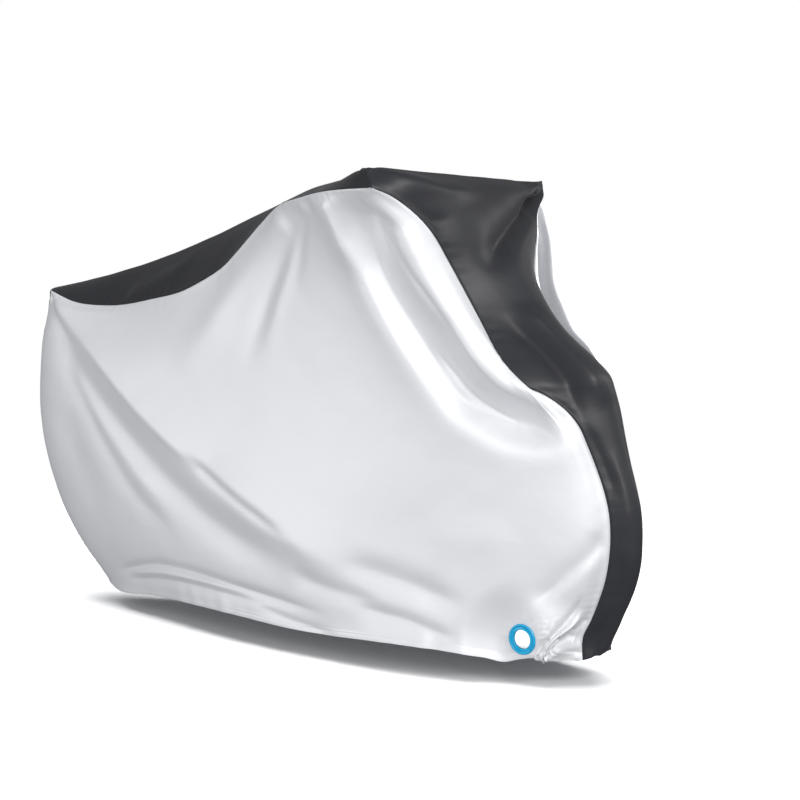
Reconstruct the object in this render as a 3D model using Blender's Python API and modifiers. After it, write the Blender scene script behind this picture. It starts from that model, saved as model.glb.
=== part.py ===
"""Fitted bicycle cover: two silver side panels, a black centre panel and two lock eyelets.

Metres, +X towards the front wheel, +Y towards the bicycle's left, +Z up.
The tables stand on the ground. The object's origin is under the top of the cover,
at the middle of the handlebar, where the bicycle carries the cloth.
"""
from collections import namedtuple

import bmesh
import bpy
import numpy as np
from mathutils import Vector

HANDLEBAR_X = 0.385
HANDLEBAR_Z = 1.062

SHEET = 0.0016            # cloth thickness, with its coating
SEAM_GAP = 0.0006         # between two panels along a seam
FIT = 0.0003              # between an eyelet and its cloth

REAR_STRIP = 2            # columns between the rear seam and the rear corner line
SIDE_COLUMNS = 32         # columns between the two corner lines
FRONT_STRIP = 4           # columns between the front corner line and the front seam
ROWS = 26                 # rows from hem to top seam
ACROSS = 8                # columns across the centre panel
WIDEST_SPREAD = 4.5       # how far those columns crowd to the sides of a flat top
SMOOTHING = 400           # relaxing passes that make the side panel taut
ROUNDING = 2              # passes that soften the corner lines
SWELL_RUN = 0.12          # share of the width in which a side panel swells

# Centre panel, one row for each section across it. The right seam lies at
# -half_width and the left one at +half_width. mid_x and mid_z are the ridge.
# crown 1 is a straight tent, 2 a round arch, and more a flat top with bent sides.
# lean lifts the right side of the top and drops the left side.
Section = namedtuple("Section", "seam_x half_width seam_z mid_x mid_z crown lean")

REAR_SECTIONS = (         # rear hem up to the rear corner
    Section(-0.652, 0.050, 0.052, -0.680, 0.054, 1.7, 0.0),
    Section(-0.748, 0.054, 0.157, -0.782, 0.159, 1.7, 0.0),
    Section(-0.793, 0.055, 0.216, -0.828, 0.218, 1.7, 0.0),
    Section(-0.856, 0.055, 0.350, -0.893, 0.352, 1.7, 0.0),
    Section(-0.880, 0.058, 0.475, -0.918, 0.478, 1.7, 0.0),
    Section(-0.864, 0.070, 0.600, -0.900, 0.606, 1.6, 0.0),
    Section(-0.801, 0.100, 0.780, -0.850, 0.786, 1.6, 0.0),
)
TOP_SECTIONS = (          # rear corner to the handlebar grips
    Section(-0.801, 0.100, 0.780, -0.850, 0.786, 1.6, 0.0),
    Section(-0.702, 0.108, 0.754, -0.730, 0.810, 1.5, 0.0),
    Section(-0.599, 0.108, 0.750, -0.615, 0.836, 1.4, 0.0),
    Section(-0.425, 0.130, 0.772, -0.445, 0.884, 1.3, 0.0),
    Section(-0.276, 0.150, 0.808, -0.310, 0.930, 1.3, 0.0),
    Section(-0.175, 0.150, 0.877, -0.205, 0.970, 1.3, 0.0),
    Section(-0.095, 0.160, 0.946, -0.120, 1.001, 1.3, 0.0),
    Section(0.006, 0.190, 0.991, -0.015, 1.036, 1.35, 0.0),
    Section(0.143, 0.250, 1.016, 0.130, 1.060, 1.7, 0.004),
    Section(0.221, 0.280, 1.027, 0.215, 1.064, 2.6, 0.008),
    Section(0.312, 0.305, 1.033, 0.300, 1.064, 12.0, 0.013),
    Section(0.376, 0.320, 1.035, 0.385, 1.063, 34.0, 0.015),
)
FRONT_SECTIONS = (        # handlebar grips down to the front hem
    Section(0.376, 0.320, 1.035, 0.385, 1.063, 34.0, 0.015),
    Section(0.412, 0.286, 1.020, 0.428, 1.040, 10.0, 0.010),
    Section(0.434, 0.244, 0.990, 0.460, 1.005, 4.0, 0.005),
    Section(0.449, 0.212, 0.960, 0.486, 0.970, 2.6, 0.0),
    Section(0.475, 0.154, 0.870, 0.536, 0.874, 1.7, 0.0),
    Section(0.501, 0.134, 0.810, 0.575, 0.816, 1.6, 0.0),
    Section(0.540, 0.132, 0.750, 0.620, 0.760, 1.6, 0.0),
    Section(0.593, 0.150, 0.690, 0.680, 0.706, 1.6, 0.0),
    Section(0.640, 0.155, 0.646, 0.742, 0.662, 1.6, 0.0),
    Section(0.685, 0.120, 0.616, 0.768, 0.622, 1.6, 0.0),
    Section(0.730, 0.088, 0.573, 0.783, 0.572, 1.7, 0.0),
    Section(0.762, 0.062, 0.492, 0.806, 0.494, 1.8, 0.0),
    Section(0.800, 0.050, 0.360, 0.843, 0.360, 1.8, 0.0),
    Section(0.795, 0.048, 0.256, 0.842, 0.254, 1.8, 0.0),
    Section(0.750, 0.043, 0.134, 0.797, 0.134, 1.8, 0.0),
    Section(0.732, 0.042, 0.095, 0.779, 0.095, 1.8, 0.0),
    Section(0.735, 0.045, 0.056, 0.764, 0.060, 1.8, 0.0),
)

# Lines that a side panel is stretched between.
Point = namedtuple("Point", "x half_width z")

HEM = (                   # rear to front
    Point(-0.652, 0.050, 0.052),
    Point(-0.600, 0.078, 0.046),
    Point(-0.405, 0.130, 0.061),
    Point(-0.124, 0.190, 0.067),
    Point(0.098, 0.205, 0.061),
    Point(0.373, 0.200, 0.067),
    Point(0.532, 0.165, 0.060),
    Point(0.595, 0.135, 0.048),
    Point(0.656, 0.110, 0.066),
    Point(0.698, 0.080, 0.057),
    Point(0.735, 0.045, 0.056),
)
REAR_CORNER = (           # where the side turns to the rear, hem to top
    Point(-0.610, 0.073, 0.047),
    Point(-0.727, 0.093, 0.160),
    Point(-0.798, 0.103, 0.281),
    Point(-0.839, 0.113, 0.418),
    Point(-0.832, 0.123, 0.557),
    Point(-0.792, 0.121, 0.716),
    Point(-0.755, 0.103, 0.766),
)
FRONT_CORNER = (          # where the side turns to the front, hem to top
    Point(0.698, 0.080, 0.057),
    Point(0.740, 0.085, 0.170),
    Point(0.775, 0.090, 0.310),
    Point(0.752, 0.096, 0.440),
    Point(0.705, 0.135, 0.575),
    Point(0.649, 0.184, 0.655),
    Point(0.568, 0.216, 0.742),
    Point(0.489, 0.264, 0.853),
    Point(0.469, 0.272, 0.920),
    Point(0.432, 0.296, 0.985),
    Point(0.352, 0.315, 1.034),
)

# How far a side panel swells between its corner lines, by the share of its height.
Swell = namedtuple("Swell", "height rear front")
SWELLS = (
    Swell(0.00, 0.000, 0.000),
    Swell(0.15, 0.030, 0.030),
    Swell(0.35, 0.045, 0.035),
    Swell(0.60, 0.050, 0.010),
    Swell(0.80, 0.045, 0.000),
    Swell(1.00, 0.000, 0.000),
)

# Folds. A path on a side panel is in (x, z), and one on the centre panel is in
# (distance past the grips along the ridge, y). height is a ridge above zero and a
# valley below it. left and right are its widths seen along the path, and a sharp
# of 1 is a crisp crease and 2 a soft one.
Fold = namedtuple("Fold", "path height left right sharp")

RIGHT_FOLDS = (
    Fold(((-0.78, 0.76), (-0.70, 0.69), (-0.52, 0.57), (-0.32, 0.46), (0.10, 0.25), (0.32, 0.18)),
         0.016, 0.055, 0.050, 1.8),
    Fold(((-0.73, 0.64), (-0.61, 0.50), (-0.42, 0.36), (-0.21, 0.25), (0.17, 0.13)),
         -0.014, 0.050, 0.050, 2.0),
    Fold(((-0.74, 0.68), (-0.64, 0.54), (-0.51, 0.39), (-0.40, 0.28), (-0.25, 0.19)),
         0.008, 0.045, 0.045, 2.0),
    Fold(((-0.73, 0.56), (-0.68, 0.39), (-0.60, 0.23), (-0.54, 0.13)),
         -0.008, 0.030, 0.030, 2.0),
    Fold(((-0.55, 0.10), (-0.30, 0.14), (-0.08, 0.135), (0.24, 0.10)),
         -0.010, 0.025, 0.020, 1.6),
    Fold(((0.366, 1.01), (0.38, 0.95), (0.46, 0.78), (0.555, 0.635), (0.61, 0.595), (0.75, 0.52)),
         -0.022, 0.025, 0.040, 1.5),
    Fold(((0.227, 1.02), (0.275, 0.90), (0.365, 0.775), (0.51, 0.58), (0.57, 0.525), (0.76, 0.48)),
         0.011, 0.030, 0.035, 1.5),
    Fold(((0.06, 0.99), (-0.10, 0.83), (-0.22, 0.69), (-0.34, 0.58)),
         0.010, 0.050, 0.050, 2.0),
    Fold(((0.14, 1.00), (0.04, 0.86), (-0.045, 0.70), (-0.09, 0.61)),
         -0.008, 0.035, 0.035, 2.0),
    Fold(((0.13, 0.24), (0.32, 0.22), (0.54, 0.185)),
         -0.008, 0.030, 0.030, 2.0),
    Fold(((0.60, 0.23), (0.716, 0.29), (0.798, 0.34)),
         -0.008, 0.025, 0.030, 2.0),
    Fold(((0.68, 0.14), (0.73, 0.19), (0.78, 0.255)),
         -0.008, 0.020, 0.020, 1.6),
)
LEFT_FOLDS = (
    Fold(((-0.78, 0.76), (-0.66, 0.64), (-0.45, 0.50), (-0.15, 0.34), (0.20, 0.22)),
         0.012, 0.040, 0.045, 1.5),
    Fold(((-0.75, 0.68), (-0.63, 0.52), (-0.44, 0.37), (-0.18, 0.24), (0.10, 0.15)),
         -0.015, 0.040, 0.040, 2.0),
    Fold(((-0.72, 0.58), (-0.62, 0.38), (-0.52, 0.20)),
         0.008, 0.035, 0.035, 2.0),
    Fold(((0.37, 1.00), (0.40, 0.92), (0.44, 0.82), (0.53, 0.69), (0.64, 0.58), (0.75, 0.50)),
         -0.018, 0.030, 0.040, 1.6),
    Fold(((0.20, 1.01), (0.27, 0.86), (0.38, 0.70), (0.56, 0.52), (0.74, 0.44)),
         0.012, 0.040, 0.040, 1.6),
    Fold(((0.03, 0.97), (-0.12, 0.80), (-0.28, 0.64)),
         0.008, 0.050, 0.050, 2.0),
    Fold(((0.00, 0.20), (0.26, 0.16), (0.50, 0.17)),
         -0.009, 0.030, 0.030, 2.0),
    Fold(((0.62, 0.22), (0.71, 0.27), (0.79, 0.36)),
         -0.008, 0.025, 0.030, 2.0),
)
CENTRE_FOLDS = (
    Fold(((0.05, 0.23), (0.13, 0.06), (0.20, -0.07), (0.26, -0.13)),
         -0.020, 0.035, 0.035, 1.6),
    Fold(((0.10, -0.24), (0.11, -0.17), (0.08, 0.00)),
         -0.010, 0.025, 0.025, 2.0),
    Fold(((0.36, -0.08), (0.47, -0.09), (0.58, -0.09), (0.65, -0.06)),
         -0.010, 0.025, 0.025, 1.6),
    Fold(((0.32, -0.04), (0.46, -0.03), (0.58, -0.03), (0.68, -0.01)),
         0.014, 0.030, 0.030, 1.6),
    Fold(((-1.00, -0.09), (-0.86, -0.07), (-0.74, -0.04)),
         0.006, 0.035, 0.035, 2.0),
)
FOLD_TAPER = 0.18         # share of a fold's length in which it dies away at each end

# Eyelets near the front hem, where a cable lock goes through the front wheel.
EYELET_X = 0.635
EYELET_HALF_WIDTH = 0.120
EYELET_Z = 0.099
EYELET_FACING = (0.16, 0.98, -0.04)   # outward on the left side
EYELET_HOLE = 0.0210      # clear radius
EYELET_BARREL = 0.0240    # radius of the part inside the cloth
EYELET_RIM = 0.0350       # outer radius of the front flange
EYELET_BACK = 0.0330      # outer radius of the washer behind the cloth
EYELET_CROWN = 0.0034     # front flange, thickness
EYELET_WASHER = 0.0020    # washer, thickness
EYELET_ROUND = 0.0012     # round of the flange's edges
DISC_RADIUS = 0.0420      # cloth disc that the eyelet is set in
FLAT_RADIUS = 0.072       # the panel is flat this far from the eyelet
FLAT_FADE = 0.110         # and free again from here on
CUT_DEPTH = 0.030         # reach of the cutter to each side of the cloth
TURN_STEPS = 32

SILVER = (0.78, 0.79, 0.81, 1.0)
BLACK = (0.030, 0.032, 0.037, 1.0)
BLUE = (0.010, 0.320, 0.560, 1.0)


def make_material(name, colour, roughness, metallic):
    material = bpy.data.materials.new(name)
    material.use_nodes = True
    shader = material.node_tree.nodes["Principled BSDF"]
    shader.inputs["Base Color"].default_value = colour
    shader.inputs["Roughness"].default_value = roughness
    shader.inputs["Metallic"].default_value = metallic
    return material


def along(rows, shares):
    """Smooth curve through the rows, read at shares of its length."""
    rows = np.array(rows, dtype=float)
    steps = np.linalg.norm(np.diff(rows[:, :3], axis=0), axis=1)
    reach = np.concatenate(([0.0], np.cumsum(steps)))
    slopes = np.diff(rows, axis=0) / steps[:, None]
    tangents = np.empty_like(rows)
    tangents[0] = slopes[0]
    tangents[-1] = slopes[-1]
    before, after = steps[:-1, None], steps[1:, None]
    tangents[1:-1] = (slopes[:-1] * after + slopes[1:] * before) / (before + after)
    place = np.asarray(shares) * reach[-1]
    index = np.clip(np.searchsorted(reach, place, side="right") - 1, 0, len(steps) - 1)
    run = steps[index][:, None]
    t = (place - reach[index])[:, None] / run
    return (rows[index] * (2 * t**3 - 3 * t**2 + 1)
            + tangents[index] * run * (t**3 - 2 * t**2 + t)
            + rows[index + 1] * (3 * t**2 - 2 * t**3)
            + tangents[index + 1] * run * (t**3 - t**2))


def left_curve(rows, shares):
    """The x, half width and z of rows as points on the left side."""
    return along(rows, shares)[:, :3]


def share_nearest(rows, point):
    """Share of the curve's length at which it passes nearest to the point."""
    shares = np.linspace(0.0, 1.0, 2001)
    reach = np.linalg.norm(left_curve(rows, shares) - np.array(point), axis=1)
    return shares[int(np.argmin(reach))]


def edge_shares(rows, rear_point, front_point):
    """Shares of a long edge at which the panel's columns meet it."""
    rear = share_nearest(rows, rear_point)
    front = share_nearest(rows, front_point)
    return np.concatenate((
        np.linspace(0.0, rear, REAR_STRIP + 1)[:-1],
        np.linspace(rear, front, SIDE_COLUMNS + 1),
        np.linspace(front, 1.0, FRONT_STRIP + 1)[1:],
    ))


def relax(grid, passes):
    """Draw each inner point towards its neighbours, like taut cloth."""
    for _ in range(passes):
        grid[1:-1, 1:-1] = 0.25 * (grid[:-2, 1:-1] + grid[2:, 1:-1]
                                   + grid[1:-1, :-2] + grid[1:-1, 2:])
    return grid


def stretched(bottom, top, rear, front):
    """Patch between four edges that share their end points."""
    u = np.linspace(0.0, 1.0, len(bottom))[None, :, None]
    v = np.linspace(0.0, 1.0, len(rear))[:, None, None]
    patch = (1 - v) * bottom[None] + v * top[None] + (1 - u) * rear[:, None] + u * front[:, None]
    patch -= ((1 - u) * (1 - v) * bottom[0] + u * (1 - v) * bottom[-1]
              + (1 - u) * v * top[0] + u * v * top[-1])
    return patch


def side_grid():
    """Left side panel without folds: rows from hem to top, columns from rear to front."""
    heights = np.linspace(0.0, 1.0, ROWS + 1)
    hem = left_curve(HEM, edge_shares(HEM, REAR_CORNER[0], FRONT_CORNER[0]))
    top_rows = TOP_SECTIONS
    top = left_curve(top_rows, edge_shares(top_rows, REAR_CORNER[-1], FRONT_CORNER[-1]))
    first, last = REAR_STRIP, REAR_STRIP + SIDE_COLUMNS
    rear = left_curve(REAR_CORNER, heights)
    front = left_curve(FRONT_CORNER, heights)
    rear[0], rear[-1] = hem[first], top[first]
    front[0], front[-1] = hem[last], top[last]
    side = relax(stretched(hem[first:last + 1], top[first:last + 1], rear, front), SMOOTHING)

    u = np.linspace(0.0, 1.0, SIDE_COLUMNS + 1)[None, :]
    levels = [swell.height for swell in SWELLS]
    rear_swell = np.interp(heights, levels, [swell.rear for swell in SWELLS])[:, None]
    front_swell = np.interp(heights, levels, [swell.front for swell in SWELLS])[:, None]
    rise = (1 - np.exp(-u / SWELL_RUN)) * (1 - np.exp(-(1 - u) / SWELL_RUN))
    side[..., 1] += (rear_swell * (1 - u) + front_swell * u) * rise

    rear_seam = left_curve(REAR_SECTIONS, heights)
    front_seam = left_curve(FRONT_SECTIONS, 1 - heights)
    grid = np.empty((ROWS + 1, REAR_STRIP + SIDE_COLUMNS + FRONT_STRIP + 1, 3))
    grid[:, first:last + 1] = side
    for column in range(REAR_STRIP):
        part = column / REAR_STRIP
        grid[:, column] = rear_seam * (1 - part) + side[:, 0] * part
    for column in range(1, FRONT_STRIP + 1):
        part = column / FRONT_STRIP
        grid[:, last + column] = side[:, -1] * (1 - part) + front_seam * part
    grid[0] = hem
    grid[-1] = top
    return relax(grid, ROUNDING)


def section_points(row):
    """Points across the centre panel from the right seam to the left one."""
    section = Section(*row)
    spread = min(1 + max(0.0, section.crown - 2) / 8, WIDEST_SPREAD)
    steps = np.linspace(-1.0, 1.0, ACROSS + 1)
    across = np.sign(steps) * np.abs(steps) ** (1 / spread)
    fullness = 1 - np.abs(across) ** section.crown
    points = np.empty((ACROSS + 1, 3))
    points[:, 0] = section.seam_x + (section.mid_x - section.seam_x) * fullness
    points[:, 1] = section.half_width * across
    points[:, 2] = (section.seam_z + (section.mid_z - section.seam_z) * fullness
                    - section.lean * across * fullness)
    return points


def centre_rows():
    """Section rows from the rear hem over the top to the front hem."""
    heights = np.linspace(0.0, 1.0, ROWS + 1)
    top_shares = edge_shares(TOP_SECTIONS, REAR_CORNER[-1], FRONT_CORNER[-1])
    return np.concatenate((
        along(REAR_SECTIONS, heights),
        along(TOP_SECTIONS, top_shares)[1:],
        along(FRONT_SECTIONS, heights)[1:],
    ))


def surface_normals(grid):
    """Unit normals of a grid of points, out of the cover."""
    rows = np.gradient(grid, axis=0)
    columns = np.gradient(grid, axis=1)
    normals = np.cross(rows, columns)
    return normals / np.linalg.norm(normals, axis=-1, keepdims=True)


def fold_height(spots, folds):
    """Height of all the folds at flat spots of shape (..., 2)."""
    total = np.zeros(spots.shape[:-1])
    for fold in folds:
        path = np.array(fold.path)
        runs = np.linalg.norm(np.diff(path, axis=0), axis=1)
        starts = np.concatenate(([0.0], np.cumsum(runs)))
        nearest = np.full(total.shape, np.inf)
        side = np.zeros(total.shape)
        share = np.zeros(total.shape)
        for start, end, run, begun in zip(path[:-1], path[1:], runs, starts):
            direction = (end - start) / run
            offset = spots - start
            place = np.clip(offset @ direction, 0.0, run)
            gap = offset - place[..., None] * direction
            distance = np.linalg.norm(gap, axis=-1)
            closer = distance < nearest
            nearest = np.where(closer, distance, nearest)
            cross = direction[0] * gap[..., 1] - direction[1] * gap[..., 0]
            side = np.where(closer, cross, side)
            share = np.where(closer, (begun + place) / starts[-1], share)
        width = np.where(side > 0, fold.left, fold.right)
        ends = np.clip(np.minimum(share, 1 - share) / FOLD_TAPER, 0.0, 1.0)
        taper = ends * ends * (3 - 2 * ends)
        total += fold.height * taper * np.exp(-(nearest / width) ** fold.sharp)
    return total


def fade_at_edges(grid):
    """Zero along the grid's edges and one from the third line inwards."""
    rows = np.arange(grid.shape[0])[:, None]
    columns = np.arange(grid.shape[1])[None, :]
    steps = np.minimum(np.minimum(rows, rows[::-1]), np.minimum(columns, columns[:, ::-1]))
    return np.clip(steps / 2, 0.0, 1.0)


def folded_side(folds):
    """Left side panel with its folds, and flat round its eyelet."""
    grid = side_grid()
    heights = fold_height(grid[..., [0, 2]], folds) * fade_at_edges(grid)
    grid = grid + surface_normals(grid) * heights[..., None]
    centre = np.array((EYELET_X, EYELET_HALF_WIDTH, EYELET_Z))
    facing = np.array(EYELET_FACING) / np.linalg.norm(EYELET_FACING)
    offset = grid - centre
    out = offset @ facing
    reach = np.linalg.norm(offset - out[..., None] * facing, axis=-1)
    press = np.clip((FLAT_FADE - reach) / (FLAT_FADE - FLAT_RADIUS), 0.0, 1.0)
    press[:, -1] = 0.0
    return grid - (press * out)[..., None] * facing


def folded_centre():
    """Centre panel with its folds: rows along it, columns from right to left."""
    grid = np.array([section_points(row) for row in centre_rows()])
    ridge = grid[:, ACROSS // 2]
    reach = np.concatenate(([0.0], np.cumsum(np.linalg.norm(np.diff(ridge, axis=0), axis=1))))
    grips = ROWS + REAR_STRIP + SIDE_COLUMNS + FRONT_STRIP
    spots = np.stack((np.broadcast_to((reach - reach[grips])[:, None], grid.shape[:2]),
                      grid[..., 1]), axis=-1)
    heights = fold_height(spots, CENTRE_FOLDS) * fade_at_edges(grid)
    return grid + surface_normals(grid) * heights[..., None]


def seam_of(grid):
    """Edge points of a side panel from rear hem over the top to front hem, and the next ones in."""
    edge = np.concatenate((grid[:, 0], grid[-1, 1:], grid[-2::-1, -1]))
    inner_rows = np.clip(np.arange(len(grid)), 1, len(grid) - 2)
    inner = np.concatenate((grid[inner_rows, 1], grid[-2, 1:-1], grid[inner_rows[::-1], -2]))
    return edge, inner


def seam_insets(edge, inner, other_inner):
    """How the seam's points move into one panel so that the two rims clear each other."""
    tangent = np.gradient(edge, axis=0)
    tangent /= np.linalg.norm(tangent, axis=1, keepdims=True)
    ways = []
    for target in (inner, other_inner):
        way = target - edge
        way -= np.sum(way * tangent, axis=1, keepdims=True) * tangent
        ways.append(way / np.linalg.norm(way, axis=1, keepdims=True))
    cosine = np.clip(np.sum(ways[0] * ways[1], axis=1), -1.0, 0.9)
    half_angle = 0.5 * np.arccos(cosine)
    inset = (SEAM_GAP / 2 + SHEET / 2 * np.cos(half_angle)) / np.sin(half_angle)
    return ways[0] * inset[:, None]


def part_seams(side, centre, centre_column, inner_column):
    """Move both rims of one seam apart. The side panel lies on the centre panel's column."""
    edge, inner = seam_of(side)
    centre_inner = centre[:, inner_column]
    into_side = seam_insets(edge, inner, centre_inner)
    into_centre = seam_insets(edge, centre_inner, inner)
    corner = ROWS
    into_side[corner] *= 1.6
    last_row = len(side) - 1
    last_column = side.shape[1] - 1
    side[:, 0] += into_side[:ROWS + 1]
    side[last_row, 1:] += into_side[ROWS + 1:ROWS + 1 + last_column]
    side[last_row - 1::-1, last_column] += into_side[ROWS + 1 + last_column:]
    centre[:, centre_column] += into_centre


def cloth_object(name, grid, split, material, collection, parent):
    """Sheet solid on a grid of points. split says which way its squares are halved."""
    rows, columns = grid.shape[:2]
    corners = np.arange(rows * columns).reshape(rows, columns)
    faces = np.stack((corners[:-1, :-1], corners[:-1, 1:], corners[1:, 1:], corners[1:, :-1]), axis=-1)
    mesh = bpy.data.meshes.new(name)
    mesh.from_pydata(grid.reshape(-1, 3).tolist(), [], faces.reshape(-1, 4).tolist())
    mesh.materials.append(material)
    mesh.shade_smooth()
    piece = bpy.data.objects.new(name, mesh)
    collection.objects.link(piece)
    piece.parent = parent
    halved = piece.modifiers.new("Halved squares", "TRIANGULATE")
    halved.quad_method = split
    solid = piece.modifiers.new("Thickness", "SOLIDIFY")
    solid.thickness = SHEET
    solid.offset = 0.0
    return piece


def turned_object(name, profile, material, collection, parent):
    """Closed profile in (radius, height) turned about the local Z axis."""
    mesh = bpy.data.meshes.new(name)
    count = len(profile)
    edges = [(index, (index + 1) % count) for index in range(count)]
    mesh.from_pydata([(radius, 0.0, height) for radius, height in profile], edges, [])
    mesh.materials.append(material)
    piece = bpy.data.objects.new(name, mesh)
    collection.objects.link(piece)
    piece.parent = parent
    screw = piece.modifiers.new("Turn", "SCREW")
    screw.steps = TURN_STEPS
    screw.render_steps = TURN_STEPS
    screw.use_merge_vertices = True
    screw.merge_threshold = 0.00001
    screw.use_smooth_shade = False
    return piece


def round_cutter(name, radius, depth, collection, parent):
    """Solid cylinder on the local Z axis that cuts a round hole."""
    mesh = bpy.data.meshes.new(name)
    shape = bmesh.new()
    bmesh.ops.create_cone(shape, cap_ends=True, segments=TURN_STEPS,
                          radius1=radius, radius2=radius, depth=depth)
    shape.to_mesh(mesh)
    shape.free()
    cutter = bpy.data.objects.new(name, mesh)
    collection.objects.link(cutter)
    cutter.parent = parent
    cutter.hide_render = True
    cutter.display_type = "WIRE"
    return cutter


def ring_profile():
    """Eyelet section from the top of its outer edge, down it and back up the hole."""
    front = SHEET / 2 + FIT
    top = front + EYELET_CROWN
    back = -front
    low = back - EYELET_WASHER
    return (
        (EYELET_RIM - EYELET_ROUND, top),
        (EYELET_RIM, top - EYELET_ROUND),
        (EYELET_RIM, front),
        (EYELET_BARREL, front),
        (EYELET_BARREL, back),
        (EYELET_BACK, back),
        (EYELET_BACK, low),
        (EYELET_HOLE, low),
        (EYELET_HOLE, top - EYELET_ROUND),
        (EYELET_HOLE + EYELET_ROUND, top),
    )


def disc_profile():
    half = SHEET / 2
    hole = EYELET_BARREL + FIT
    return ((DISC_RADIUS, half), (DISC_RADIUS, -half), (hole, -half), (hole, half))


def add_eyelet(side_name, mirror, panel, materials, parts, cutters, parent):
    """Ring, cloth disc and the hole in the panel. mirror is 1 on the left and -1 on the right."""
    facing = Vector((EYELET_FACING[0], EYELET_FACING[1] * mirror, EYELET_FACING[2]))
    turn = facing.to_track_quat("Z", "Y").to_euler()
    place = (EYELET_X, EYELET_HALF_WIDTH * mirror, EYELET_Z)
    ring = turned_object(f"eyelet_{side_name}", ring_profile(), materials["eyelet"], parts, parent)
    disc = turned_object(f"eyelet_disc_{side_name}", disc_profile(), materials["silver"], parts, parent)
    cutter = round_cutter(f"eyelet_cut_{side_name}", DISC_RADIUS + FIT, 2 * CUT_DEPTH, cutters, parent)
    for piece in (ring, disc, cutter):
        piece.location = place
        piece.rotation_euler = turn
    hole = panel.modifiers.new("Eyelet hole", "BOOLEAN")
    hole.operation = "DIFFERENCE"
    hole.solver = "EXACT"
    hole.object = cutter


def main():
    for old in list(bpy.data.objects):
        bpy.data.objects.remove(old, do_unlink=True)
    parts = bpy.data.collections.new("bicycle_cover")
    cutters = bpy.data.collections.new("cutters")
    for collection in (parts, cutters):
        bpy.context.scene.collection.children.link(collection)
    bike = bpy.data.objects.new("cover_on_handlebar", None)
    bike.location = (-HANDLEBAR_X, 0.0, -HANDLEBAR_Z)
    parts.objects.link(bike)
    materials = {
        "silver": make_material("silver cloth", SILVER, 0.42, 0.35),
        "black": make_material("black cloth", BLACK, 0.50, 0.0),
        "eyelet": make_material("blue eyelet", BLUE, 0.30, 0.20),
    }

    flip = np.array((1.0, -1.0, 1.0))
    left = folded_side(LEFT_FOLDS)
    right = folded_side(RIGHT_FOLDS) * flip
    centre = folded_centre()
    part_seams(right, centre, 0, 1)
    part_seams(left, centre, ACROSS, ACROSS - 1)

    silver = materials["silver"]
    right_panel = cloth_object("side_panel_right", right, "FIXED_ALTERNATE", silver, parts, bike)
    left_panel = cloth_object("side_panel_left", left[:, ::-1], "FIXED", silver, parts, bike)
    cloth_object("centre_panel", centre, "SHORTEST_DIAGONAL", materials["black"], parts, bike)
    add_eyelet("right", -1, right_panel, materials, parts, cutters, bike)
    add_eyelet("left", 1, left_panel, materials, parts, cutters, bike)


main()
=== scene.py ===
import math
from collections import namedtuple

import bmesh
import bpy
import numpy as np
from mathutils import Matrix, Vector


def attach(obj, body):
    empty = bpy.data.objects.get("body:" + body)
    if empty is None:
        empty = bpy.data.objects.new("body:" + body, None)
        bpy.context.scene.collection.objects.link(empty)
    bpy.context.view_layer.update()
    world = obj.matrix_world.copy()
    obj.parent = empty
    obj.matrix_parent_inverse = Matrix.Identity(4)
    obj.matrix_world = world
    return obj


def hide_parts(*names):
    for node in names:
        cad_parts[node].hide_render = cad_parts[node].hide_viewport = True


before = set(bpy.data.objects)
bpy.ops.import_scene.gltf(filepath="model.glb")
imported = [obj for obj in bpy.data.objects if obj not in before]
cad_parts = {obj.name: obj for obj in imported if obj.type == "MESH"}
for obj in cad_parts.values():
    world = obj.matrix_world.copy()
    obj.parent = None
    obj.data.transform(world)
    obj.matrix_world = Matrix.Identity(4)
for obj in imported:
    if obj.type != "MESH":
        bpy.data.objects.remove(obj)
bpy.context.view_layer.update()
print("frame loaded")

# The tables below stand on the ground, with the bicycle's middle plane at y = 0.
# The frame's own origin is under the top of the cover, at the handlebar.
handlebar = np.array((0.385, 0.0, 1.062))


def addObject(name, data):
    thing = bpy.data.objects.new(name, data)
    bpy.context.scene.collection.objects.link(thing)
    return thing


# Nodes, for the room and the materials

class Wire:  # one socket, so that sums on it read as sums
    def __init__(self, nodes, socket):
        self.nodes = nodes
        self.socket = socket

    def __add__(self, other):
        return self.nodes.maths("ADD", self, other)

    def __rsub__(self, other):
        return self.nodes.maths("SUBTRACT", other, self)

    def __mul__(self, other):
        return self.nodes.maths("MULTIPLY", self, other)

    __radd__ = __add__
    __rmul__ = __mul__

    def twin(self, out):  # another output of the same node
        return Wire(self.nodes, self.socket.node.outputs[out])


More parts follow.
